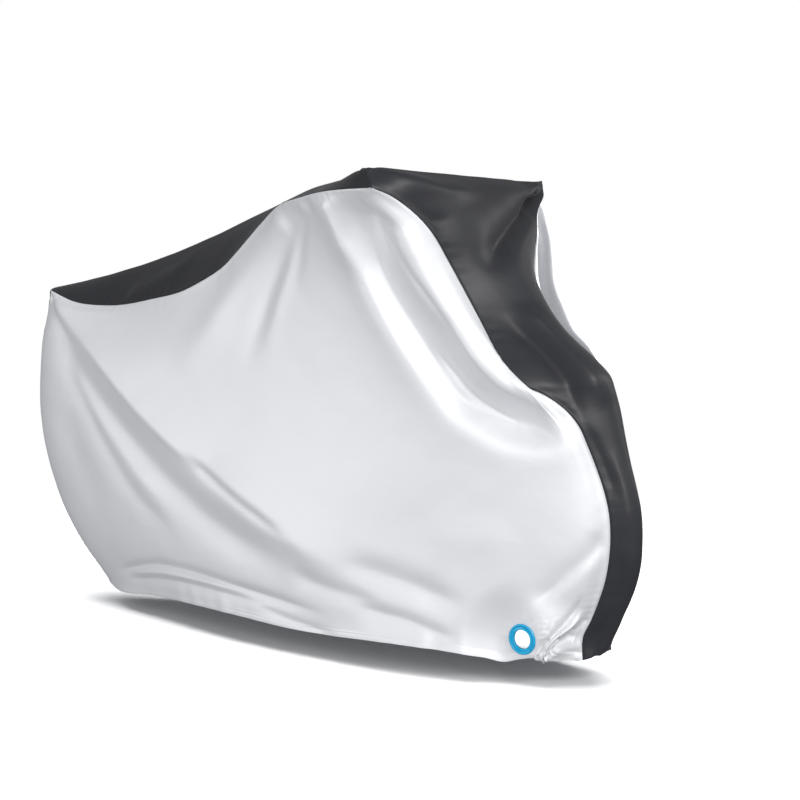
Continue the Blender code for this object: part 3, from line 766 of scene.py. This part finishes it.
def settleAtEyelet(grid, seed):  # flat round the eyelet, with small creases drawn to it
    out, flat, reach = aroundEyelet(grid, 1)
    press = smoothStep((eyelet["flatFade"] - reach) / (eyelet["flatFade"] - eyelet["flatRadius"]))
    press *= np.clip(edgeDistance(grid, 1, True) / eyelet["flatToSeam"], 0.0, 1.0)
    angle = np.arctan2(flat[..., 2], flat[..., 0])
    counts = eyelet["puckerCounts"]
    waves = sum(np.sin(count * angle + seed * count) for count in counts) / len(counts)
    creases = eyelet["pucker"] * waves * beside(reach - eyelet["puckerPlace"], eyelet["puckerWidth"])
    return grid + (creases - press * out)[..., None] * eyeletPlace(1)[1]


def openEyelet(piece, mirror):  # hole in the cloth, its edge under the ring
    mesh = piece.data
    spots = np.empty(len(mesh.vertices) * 3)
    mesh.vertices.foreach_get("co", spots)
    out, _, reach = aroundEyelet(spots.reshape(-1, 3) + handlebar, mirror)
    inside = (reach < eyelet["cut"]) & (np.abs(out) < eyelet["cutDepth"])
    shape = bmesh.new()
    shape.from_mesh(mesh)
    shape.verts.ensure_lookup_table()
    bmesh.ops.delete(shape, geom=[shape.verts[k] for k in np.flatnonzero(inside)], context="VERTS")
    for vertex in shape.verts:
        if vertex.is_boundary:
            _, flat, reach = aroundEyelet(np.array(vertex.co) + handlebar, mirror)
            if reach < eyelet["edgeWithin"]:
                vertex.co = np.array(vertex.co) + flat * (eyelet["clothEdge"] / reach - 1)
    shape.to_mesh(mesh)
    shape.free()


# Side panels

sideCloth = {
    "perCell": 5,
    "perRow": 4,
    "frontCells": 8,  # cells at the front and rows at the hem that are cut finer, for the gathers
    "frontPerCell": 12,
    "hemRows": 4,
    "hemPerRow": 12,
    "nearSeam": (0.0, 0.025, 0.05, 0.08, 0.12, 0.17, 0.23, 0.31, 0.42, 0.56, 0.76),
    "nearHem": (0.0, 0.03, 0.08, 0.16, 0.24, 0.30, 0.34, 0.38, 0.43, 0.52, 0.66, 0.82),
    "calm": 0.030,  # how far from a seam the folds, seam folds, tuck and gathers come up
    "seamFoldCalm": 0.010,
    "tuckCalm": 0.025,
    "gatherCalm": 0.007,
    "hemBand": 0.014,
    "hemStep": 0.0010,
    "hemGroove": 0.0009,
    "hemStitches": (0.0115,),
    "hemWave": (0.0016, 0.085),
    "hemWaveReach": 0.05,
    "hemKeep": 0.020,
    "tuck": 0.040,  # how far the front of the hem is drawn under
    "tuckReach": (0.050, 1.5),  # reach over the hem, and how sharply it ends
    "tuckRun": (0.655, 0.695),
    "gather": (0.0044, 0.015),
    "crumple": (0.0042, 0.010),
    "gatherReach": (0.036, 1.6),
    "gatherRun": (0.665, 0.695),
    "ringClear": (0.035, 0.047),
    "rumple": (0.00035, 0.11),
    "flat": (1.06, 1.76),
    "area": 1.36,
}

tailFold = ((-675, 690), (-567, 624), (-490, 568), (-405, 510), (-315, 456), (-110, 353))

rightSide = {
    "name": "silver_side_right",
    "mirror": -1,
    "seed": 5,
    "folds": (  # seen from the side, in (x, height above the ground)
        # fold that runs from the tail down to the front hem: crest, trough and the crease between
        (14, 110, 70, 1.6, 0.05, 0.35, (-790, 775), *tailFold, (100, 250), (320, 178), (490, 133)),
        (10, 60, 18, 1.1, 0.04, 0.3, (-800, 785), *tailFold),
        (-11, 36, 46, 1.8, 0.12, 0.3, (-760, 705), (-660, 605), (-550, 512), (-440, 432), (-300, 345),
         (-120, 258), (60, 206), (200, 160)),
        (5, 34, 20, 1.8, 0.15, 0.3, (-690, 628), (-610, 528), (-500, 420), (-390, 330), (-280, 262)),
        (-3.6, 15, 30, 1.6, 0.3, 0.25, (-689, 591), (-642, 531), (-542, 407), (-415, 291), (-334, 247),
         (-279, 205)),
        (6, 60, 30, 1.7, 0.3, 0.3, (-200, 400), (-50, 325), (100, 262), (250, 215)),
        (-4, 50, 50, 2.0, 0.3, 0.3, (-730, 520), (-660, 370), (-560, 230)),
        (-8.5, 10, 16, 1.5, 0.3, 0.3, (-280, 440), (-190, 393), (-100, 347), (0, 301), (100, 258)),
        # folds above the hem
        (-9.5, 10, 20, 1.5, 0.12, 0.3, (-570, 98), (-509, 116), (-393, 142), (-260, 145), (-97, 133),
         (49, 121), (200, 104)),
        (5.5, 10, 9, 1.6, 0.15, 0.3, (-530, 100), (-380, 126), (-200, 129), (-20, 119)),
        (-6, 8, 16, 1.5, 0.15, 0.35, (-545, 82), (-364, 109), (-156, 112), (20, 103)),
        (-6, 20, 26, 1.8, 0.25, 0.3, (60, 196), (190, 168), (340, 148)),
        (-3.5, 8, 12, 1.6, 0.3, 0.3, (-40, 100), (100, 78), (220, 64)),
        # folds from the handlebar grip
        (-29, 64, 38, 2.2, 0.06, 0.14, (346, 1005), (336, 962), (337, 895), (370, 809), (421, 730),
         (477, 645), (514, 600), (563, 573), (612, 554), (680, 545), (745, 528)),
        (-10, 30, 14, 1.1, 0.03, 0.12, (336, 1020), (322, 965), (318, 890), (355, 802), (407, 722),
         (463, 637), (500, 592), (556, 562), (610, 542), (681, 530), (740, 512)),
        (-11, 14, 9, 1.1, 0.3, 0.25, (430, 717), (475, 655), (519, 607), (562, 577), (611, 552),
         (681, 536)),
        (11, 34, 20, 1.6, 0.35, 0.25, (500, 760), (536, 716), (572, 672), (604, 640), (644, 612),
         (700, 588)),
        (-5, 24, 14, 1.5, 0.06, 0.45, (342, 1034), (340, 985), (352, 925), (380, 850)),
        (-10, 18, 30, 1.6, 0.35, 0.25, (438, 820), (502, 702), (546, 648), (590, 600), (640, 568),
         (705, 538)),
        (8, 16, 42, 1.25, 0.04, 0.5, (232, 1025), (251, 968), (285, 887), (323, 807), (372, 717),
         (438, 635), (484, 587), (541, 550), (604, 521), (690, 495)),
        (9, 50, 34, 1.7, 0.05, 0.4, (196, 1035), (225, 985), (262, 915), (315, 840)),
        (9, 45, 45, 1.9, 0.06, 0.5, (58, 989), (-98, 832), (-222, 687), (-336, 580)),
        (-7, 30, 30, 1.9, 0.08, 0.4, (137, 1002), (37, 857), (-45, 698), (-86, 608)),
        (5, 22, 26, 1.8, 0.06, 0.4, (152, 1011), (84, 899), (22, 765), (-23, 656)),
        (-5, 18, 22, 1.7, 0.06, 0.5, (178, 1020), (130, 957), (100, 873), (80, 790)),
        # soft waves over the lower front
        (-12, 26, 34, 1.8, 0.3, 0.3, (200, 232), (323, 212), (386, 200), (450, 180), (535, 155)),
        (-9, 16, 26, 1.7, 0.3, 0.25, (240, 138), (326, 128), (393, 119), (453, 101), (515, 86)),
        (-7, 18, 16, 1.6, 0.25, 0.08, (645, 160), (690, 205), (743, 258), (775, 290), (797, 332)),
        (3.2, 12, 20, 1.6, 0.25, 0.08, (680, 172), (735, 226), (782, 276), (800, 300)),
        (3, 40, 40, 2.0, 0.3, 0.3, (411, 306), (526, 309), (648, 298)),
        # pucker where the front seam turns at the foot of the grip fold
        (-2.8, 7, 7, 1.5, 0.2, 0.4, (600, 700), (625, 655), (650, 625)),
        (2.8, 7, 7, 1.5, 0.2, 0.4, (622, 688), (642, 650), (668, 618)),
        (-2.4, 6, 6, 1.5, 0.2, 0.4, (640, 668), (660, 635), (684, 606)),
    ),
    "gathers": (  # at the rear corner, and at the front hem beside the eyelet
        (-6.5, 6, 18, 1.4, 0.06, 0.6, (-806, 772), (-778, 744), (-741, 709), (-686, 661), (-620, 612)),
        (-11, 6, 7, 1.5, 0.05, 0.35, (692, 50), (697, 74), (705, 104), (721, 132), (743, 175),
         (757, 214)),
        (6, 5, 4, 1.5, 0.1, 0.35, (700, 50), (704, 80), (713, 108), (735, 138), (752, 172)),
        (-10, 5, 7, 1.5, 0.05, 0.35, (702, 50), (708, 74), (718, 98), (738, 121), (753, 150), (760, 180)),
        (-9, 4, 6, 1.5, 0.05, 0.35, (712, 50), (719, 80), (728, 98), (745, 122)),
        (-6, 4, 5, 1.5, 0.05, 0.35, (722, 50), (731, 75), (741, 92)),
        (-5.5, 7, 5, 1.5, 0.08, 0.3, (664, 58), (675, 79), (691, 93), (701, 109)),
    ),
    "seamFolds": (  # (height above the ground, distance from the front seam)
        (-5, 10, 16, 1.6, 0.3, 0.15, (639, 50), (659, 64), (684, 80), (739, 102), (789, 112), (864, 117),
         (960, 100)),
    ),
}
leftSide = {
    "name": "silver_side_left",
    "mirror": 1,
    "seed": 19,
    "folds": (
        (12, 60, 40, 1.7, 0.08, 0.35, (-780, 760), (-660, 640), (-450, 500), (-150, 340), (200, 220)),
        (3.5, 22, 12, 1.3, 0.15, 0.35, (-740, 720), (-620, 600), (-420, 470), (-160, 335)),
        (-14, 42, 42, 1.9, 0.1, 0.3, (-750, 680), (-630, 520), (-440, 370), (-180, 240), (100, 150)),
        (8, 32, 32, 1.9, 0.2, 0.3, (-720, 580), (-620, 380), (-520, 200)),
        (-8, 20, 14, 1.6, 0.2, 0.35, (-550, 100), (-340, 140), (-100, 130), (150, 105)),
        (-19, 26, 42, 1.6, 0.1, 0.15, (370, 1020), (400, 920), (440, 820), (530, 690), (640, 580),
         (750, 500)),
        (12, 34, 40, 1.6, 0.08, 0.2, (200, 1020), (270, 860), (380, 700), (560, 520), (740, 440)),
        (8, 45, 45, 1.9, 0.1, 0.5, (30, 970), (-120, 800), (-280, 640)),
        (-6, 28, 28, 1.9, 0.1, 0.45, (120, 1000), (30, 840), (-50, 680)),
        (5, 24, 24, 1.8, 0.1, 0.45, (160, 1010), (100, 880), (40, 740)),
        (-8, 28, 28, 2.0, 0.3, 0.3, (0, 200), (260, 160), (500, 170)),
        (-7, 22, 26, 1.8, 0.3, 0.1, (620, 220), (710, 270), (790, 360)),
    ),
    "gathers": (
        (-8, 7, 7, 1.5, 0.05, 0.35, (686, 50), (694, 80), (712, 125), (750, 195)),
        (4, 6, 6, 1.5, 0.1, 0.35, (697, 50), (706, 86), (728, 130), (758, 180)),
        (-8, 6, 6, 1.5, 0.05, 0.35, (706, 50), (716, 82), (742, 122)),
        (-6, 5, 5, 1.5, 0.05, 0.35, (719, 50), (729, 76), (742, 98)),
    ),
    "seamFolds": (
        (-26, 7, 10, 1.6, 0.3, 0.08, (640, 10), (680, 12), (713, 16), (749, 18), (778, 21), (825, 27),
         (865, 27), (921, 18), (985, 8), (1020, 4)),
        (5, 16, 40, 1.7, 0.2, 0.1, (640, 40), (713, 46), (778, 54), (865, 60), (937, 48), (1000, 36)),
        (6, 16, 55, 1.8, 0.45, 0.45, (560, 16), (620, 22), (660, 28), (720, 36)),
    ),
}


def sideSheet(settings, coarse, drops):  # fine left-hand grid of one side
    rows, nearSeam, seed = cover["rows"], sideCloth["nearSeam"], settings["seed"]
    rowPlaces = finePlaces(
        rows, ((sideCloth["hemRows"], sideCloth["hemPerRow"]), (rows - 1, sideCloth["perRow"])),
        sideCloth["nearHem"], nearSeam)
    columnPlaces = finePlaces(
        coverColumns, ((coverColumns - sideCloth["frontCells"], sideCloth["perCell"]),
                       (coverColumns - 1, sideCloth["frontPerCell"])), nearSeam, nearSeam)
    grid = tugged(fineGrid(coarse, rowPlaces, columnPlaces), settings["mirror"])
    spots = grid[..., [0, 2]]
    toRear, toFront, toHem, toTop = edgeDistances(grid)
    toSeam = np.minimum(np.minimum(toRear, toFront), toTop)
    hemRun = toRear[:1]

    heights = foldHeight(spots, settings["folds"]) + rumple(spots, seed, *sideCloth["rumple"])
    heights += ripple(hemRun, seed + 1, *sideCloth["hemWave"]) * beside(toHem, sideCloth["hemWaveReach"])
    heights *= smoothStep(toSeam / sideCloth["calm"])
    seamFolds = seamFoldHeight(grid[..., 2], toFront, settings["seamFolds"])
    heights += seamFolds * smoothStep(toSeam / sideCloth["seamFoldCalm"])
    under = rising(spots[..., 0], *sideCloth["tuckRun"]) * beside(toHem, *sideCloth["tuckReach"])
    heights -= sideCloth["tuck"] * under * smoothStep(toSeam / sideCloth["tuckCalm"])
    level = grid[..., 2]
    grid = settleAtEyelet(grid + outward(grid) * heights[..., None], seed)

    hold = rising(spots[..., 0], *sideCloth["gatherRun"]) * beside(toHem, *sideCloth["gatherReach"])
    tucks = foldHeight(spots, settings["gathers"]) + ripple(hemRun, seed + 6, *sideCloth["gather"]) * hold
    tucks += rumple(spots, seed + 7, *sideCloth["crumple"]) * np.sqrt(hold)
    fromEyelet = np.linalg.norm(grid - eyeletPlace(1)[0], axis=-1)
    tucks *= smoothStep(toSeam / sideCloth["gatherCalm"]) * rising(fromEyelet, *sideCloth["ringClear"])
    grid = grid + outward(grid) * tucks[..., None]
    grid[..., 2] += (level - grid[..., 2]) * beside(toHem, sideCloth["hemKeep"])  # the hem keeps its height

    normals = outward(grid)
    lengthways, upward = [edgeDistance(grid, axis, False) for axis in (1, 0)]
    edges = (
        (toRear, finer(drops[0], rowPlaces)[:, None], upward[:, :1]),
        (toTop, finer(drops[1], columnPlaces)[None], lengthways[-1:]),
        (toFront, finer(drops[2], rows - rowPlaces)[:, None], upward[:, -1:]),
    )
    moves = np.zeros_like(grid)
    weights = np.zeros(grid.shape[:2] + (1,))
    for number, (distance, drop, run) in enumerate(edges):
        weight, move = seamShape(distance, drop, normals, run, 10 * seed + 2 + number)
        moves += move
        weights += weight
    return hemmed(grid + moves / np.maximum(weights, 1.0), toHem, sideCloth)


def buildSide(settings, coarse, drops):
    mirror = settings["mirror"]
    grid = sideSheet(settings, coarse, drops) * (1.0, mirror, 1.0)
    if mirror > 0:
        grid = grid[:, ::-1]
    piece = clothObject(settings["name"], grid, cutPlaces(grid), silverCloth)
    openEyelet(piece, mirror)
    side = "left" if mirror > 0 else "right"
    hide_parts(f"side_panel_{side}", f"eyelet_disc_{side}")
    return piece


# Middle panel

centreCloth = {
    "name": "black_middle",
    "seed": 31,
    "perCell": 6,
    "perAcross": 9,
    "nearHem": (0.0, 0.05, 0.11, 0.17, 0.24, 0.30, 0.36, 0.44, 0.56, 0.76),
    "nearCorner": (0.0, 0.08, 0.18, 0.32, 0.5, 0.75),
    "nearSeam": (0.0, 0.05, 0.10, 0.16, 0.24, 0.34, 0.46, 0.60, 0.78),
    "calm": 0.022,
    "gripTugCalm": 0.050,
    "hemBand": 0.018,
    "hemStep": 0.0006,
    "hemGroove": 0.0003,
    "hemStitches": (0.008, 0.0145),
    "rumple": (0.00045, 0.10),
    "gather": (0.0034, 0.022),
    "gatherReach": (0.030, 1.5),
    "flat": (0.68, 3.28),
    "area": 0.94,
    "folds": (  # in (distance past the grips along the ridge, y)
        (-36, 22, 38, 1.7, 0.14, 0.25, (20, 300), (45, 280), (92, 197), (146, 88), (194, -6), (243, -70),
         (267, -95)),
        (-10, 24, 26, 1.8, 0.2, 0.4, (72, -290), (112, -237), (135, -184), (115, -110)),
        (12, 30, 18, 1.7, 0.12, 0.4, (10, -305), (50, -225), (74, -118), (58, 20)),
        (-12.5, 16, 22, 1.6, 0.25, 0.3, (350, -92), (409, -80), (455, -74), (509, -77), (580, -81),
         (631, -77), (680, -64)),
        (18, 38, 24, 1.6, 0.22, 0.25, (330, -52), (409, -42), (490, -41), (568, -40), (640, -26)),
        (-5, 18, 18, 1.8, 0.3, 0.3, (331, -150), (439, -160), (527, -170)),
        (-8, 30, 34, 1.8, 0.3, 0.3, (480, 100), (600, 112), (700, 88)),
        (-5, 12, 14, 1.7, 0.3, 0.3, (650, -83), (730, -54), (830, -39)),
        (3, 10, 10, 1.8, 0.3, 0.3, (710, -31), (810, -25), (910, -25)),
        (-3.5, 9, 9, 1.6, 0.25, 0.35, (930, -42), (1000, -30), (1080, -22)),
        (-3, 7, 7, 1.6, 0.15, 0.3, (1170, -34), (1120, -28), (1050, -22)),
        (2.5, 7, 7, 1.6, 0.15, 0.3, (1170, -5), (1130, -6), (1080, -4)),
        (-2.8, 7, 7, 1.6, 0.15, 0.3, (1170, 22), (1120, 18), (1060, 15)),
        (6, 30, 30, 1.9, 0.2, 0.3, (-980, -106), (-840, -93), (-740, -75)),
        (4, 10, 10, 1.5, 0.25, 0.15, (-50, -280), (0, -295), (30, -307)),
        (4, 22, 22, 1.8, 0.15, 0.5, (-200, 220), (-340, 130), (-500, 70)),
        (-4, 22, 22, 1.8, 0.15, 0.5, (-160, -230), (-300, -150), (-460, -80)),
    ),
}


def centreSheet(blocks, dropsRight, dropsLeft):
    hem, corner, nearSeam = [centreCloth[name] for name in ("nearHem", "nearCorner", "nearSeam")]
    ends = ((cover["rows"], hem, corner), (coverColumns, corner, corner), (cover["rows"], corner, hem))
    rowPlaces = [finePlaces(cells, ((cells - 1, centreCloth["perCell"]),), *near) for cells, *near in ends]
    across = cover["across"]
    columnPlaces = finePlaces(across, ((across - 1, centreCloth["perAcross"]),), nearSeam, nearSeam)
    grids, rights, lefts = [], [], []
    for block, places, right, left in zip(blocks, rowPlaces, dropsRight, dropsLeft):
        begin = 1 if grids else 0  # neighbouring blocks share a row
        grids.append(tugged(fineGrid(block, places, columnPlaces), 1)[begin:])
        rights.append(finer(right, places)[begin:])
        lefts.append(finer(left, places)[begin:])
    grid, right, left = [np.concatenate(parts) for parts in (grids, rights, lefts)]
    ridge = grid[:, grid.shape[1] // 2]
    reach = np.concatenate(([0.0], np.cumsum(np.linalg.norm(np.diff(ridge, axis=0), axis=1))))
    reach -= reach[len(grids[0]) + len(grids[1]) - 1]  # from the grips
    spots = np.stack((np.broadcast_to(reach[:, None], grid.shape[:2]), grid[..., 1]), axis=-1)
    toRight, toLeft, toRear, toFront = edgeDistances(grid)
    grid = grid + (pulled(grid, gripTug) - grid) * smoothStep(toRight / centreCloth["gripTugCalm"])[..., None]

    seed = centreCloth["seed"]
    heights = foldHeight(spots, centreCloth["folds"]) + rumple(spots, seed, *centreCloth["rumple"])
    pleats = ripple(edgeDistance(grid, 1, False)[-1:], seed + 4, *centreCloth["gather"])
    heights += pleats * beside(toFront, *centreCloth["gatherReach"])
    heights *= smoothStep(np.minimum(toRight, toLeft) / centreCloth["calm"])
    grid = grid + outward(grid) * heights[..., None]

    normals = outward(grid)
    run = edgeDistance(grid, 0, False)
    _, rightMove = seamShape(toRight, right[:, None], normals, run[:, :1], 10 * seed)
    _, leftMove = seamShape(toLeft, left[:, None], normals, run[:, -1:], 10 * seed + 1)
    return hemmed(grid + rightMove + leftMove, np.minimum(toRear, toFront), centreCloth)


def buildCentre(blocks, dropsRight, dropsLeft):
    grid = centreSheet(blocks, dropsRight, dropsLeft)
    piece = clothObject(centreCloth["name"], grid[:, ::-1], cutPlaces(grid)[:, ::-1],
                        blackCloth)
    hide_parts("centre_panel")
    return piece


def dropsFor(coarse, mirror):  # inward ways at the seam, for a grid on the left or its mirror image
    normals = outward(coarse * (1.0, mirror, 1.0)) * mirror
    edges = (normals[:, 0], normals[-1], normals[::-1, -1])
    column = -1 if mirror > 0 else 0
    drops = []
    for block, edge in zip(blocks, edges):
        total = edge + outward(block)[:, column]
        drops.append(-seam["drop"] * total / np.linalg.norm(total, axis=-1, keepdims=True))
    return drops


blocks = centreBlocks()
leftCoarse, rightCoarse = [sideGrid(passes) for passes in cover["cornerPasses"]]
leftDrops, rightDrops = dropsFor(leftCoarse, 1), dropsFor(rightCoarse, -1)
rightPiece = buildSide(rightSide, rightCoarse, [drop * (1.0, -1.0, 1.0) for drop in rightDrops])
leftPiece = buildSide(leftSide, leftCoarse, leftDrops)
centrePiece = buildCentre(blocks, rightDrops, leftDrops)
print("panels sewn")


# Eyelet rings

def buildEyelet(side, mirror):
    profile = np.array(eyelet["profile"]) / 1000
    count, turns = len(profile), eyelet["turns"]
    points, faces = [], []
    for step in range(turns):
        angle = 2 * math.pi * step / turns
        points += [(radius * math.cos(angle), radius * math.sin(angle), height) for radius, height in profile]
        here, there = step * count, (step + 1) % turns * count
        for index in range(count):
            after = (index + 1) % count
            faces.append((here + index, here + after, there + after, there + index))
    mesh = bpy.data.meshes.new(f"eyelet_ring_{side}")
    mesh.from_pydata(points, [], faces)
    mesh.materials.append(blueRing)
    mesh.shade_smooth()
    centre, facing = eyeletPlace(mirror)
    turn = Vector(facing).to_track_quat("Z", "Y").to_matrix().to_4x4()
    mesh.transform(Matrix.Translation(Vector(centre - handlebar)) @ turn)
    ring = addObject(mesh.name, mesh)
    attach(ring, "root")
    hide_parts(f"eyelet_{side}")
    return ring


buildEyelet("right", -1)
leftRing = buildEyelet("left", 1)
print("eyelets set")

lightOnly(lamps["far side"], [leftPiece, leftRing])
lightOnly(lamps["strip"], [rightPiece])
for name in ("black fill", "satin front", "satin far"):
    lightOnly(lamps[name], [centrePiece])
lightOnly(lamps["key"], [leftPiece], without=True)
lightOnly(lamps["fill"], [leftPiece, centrePiece], without=True)
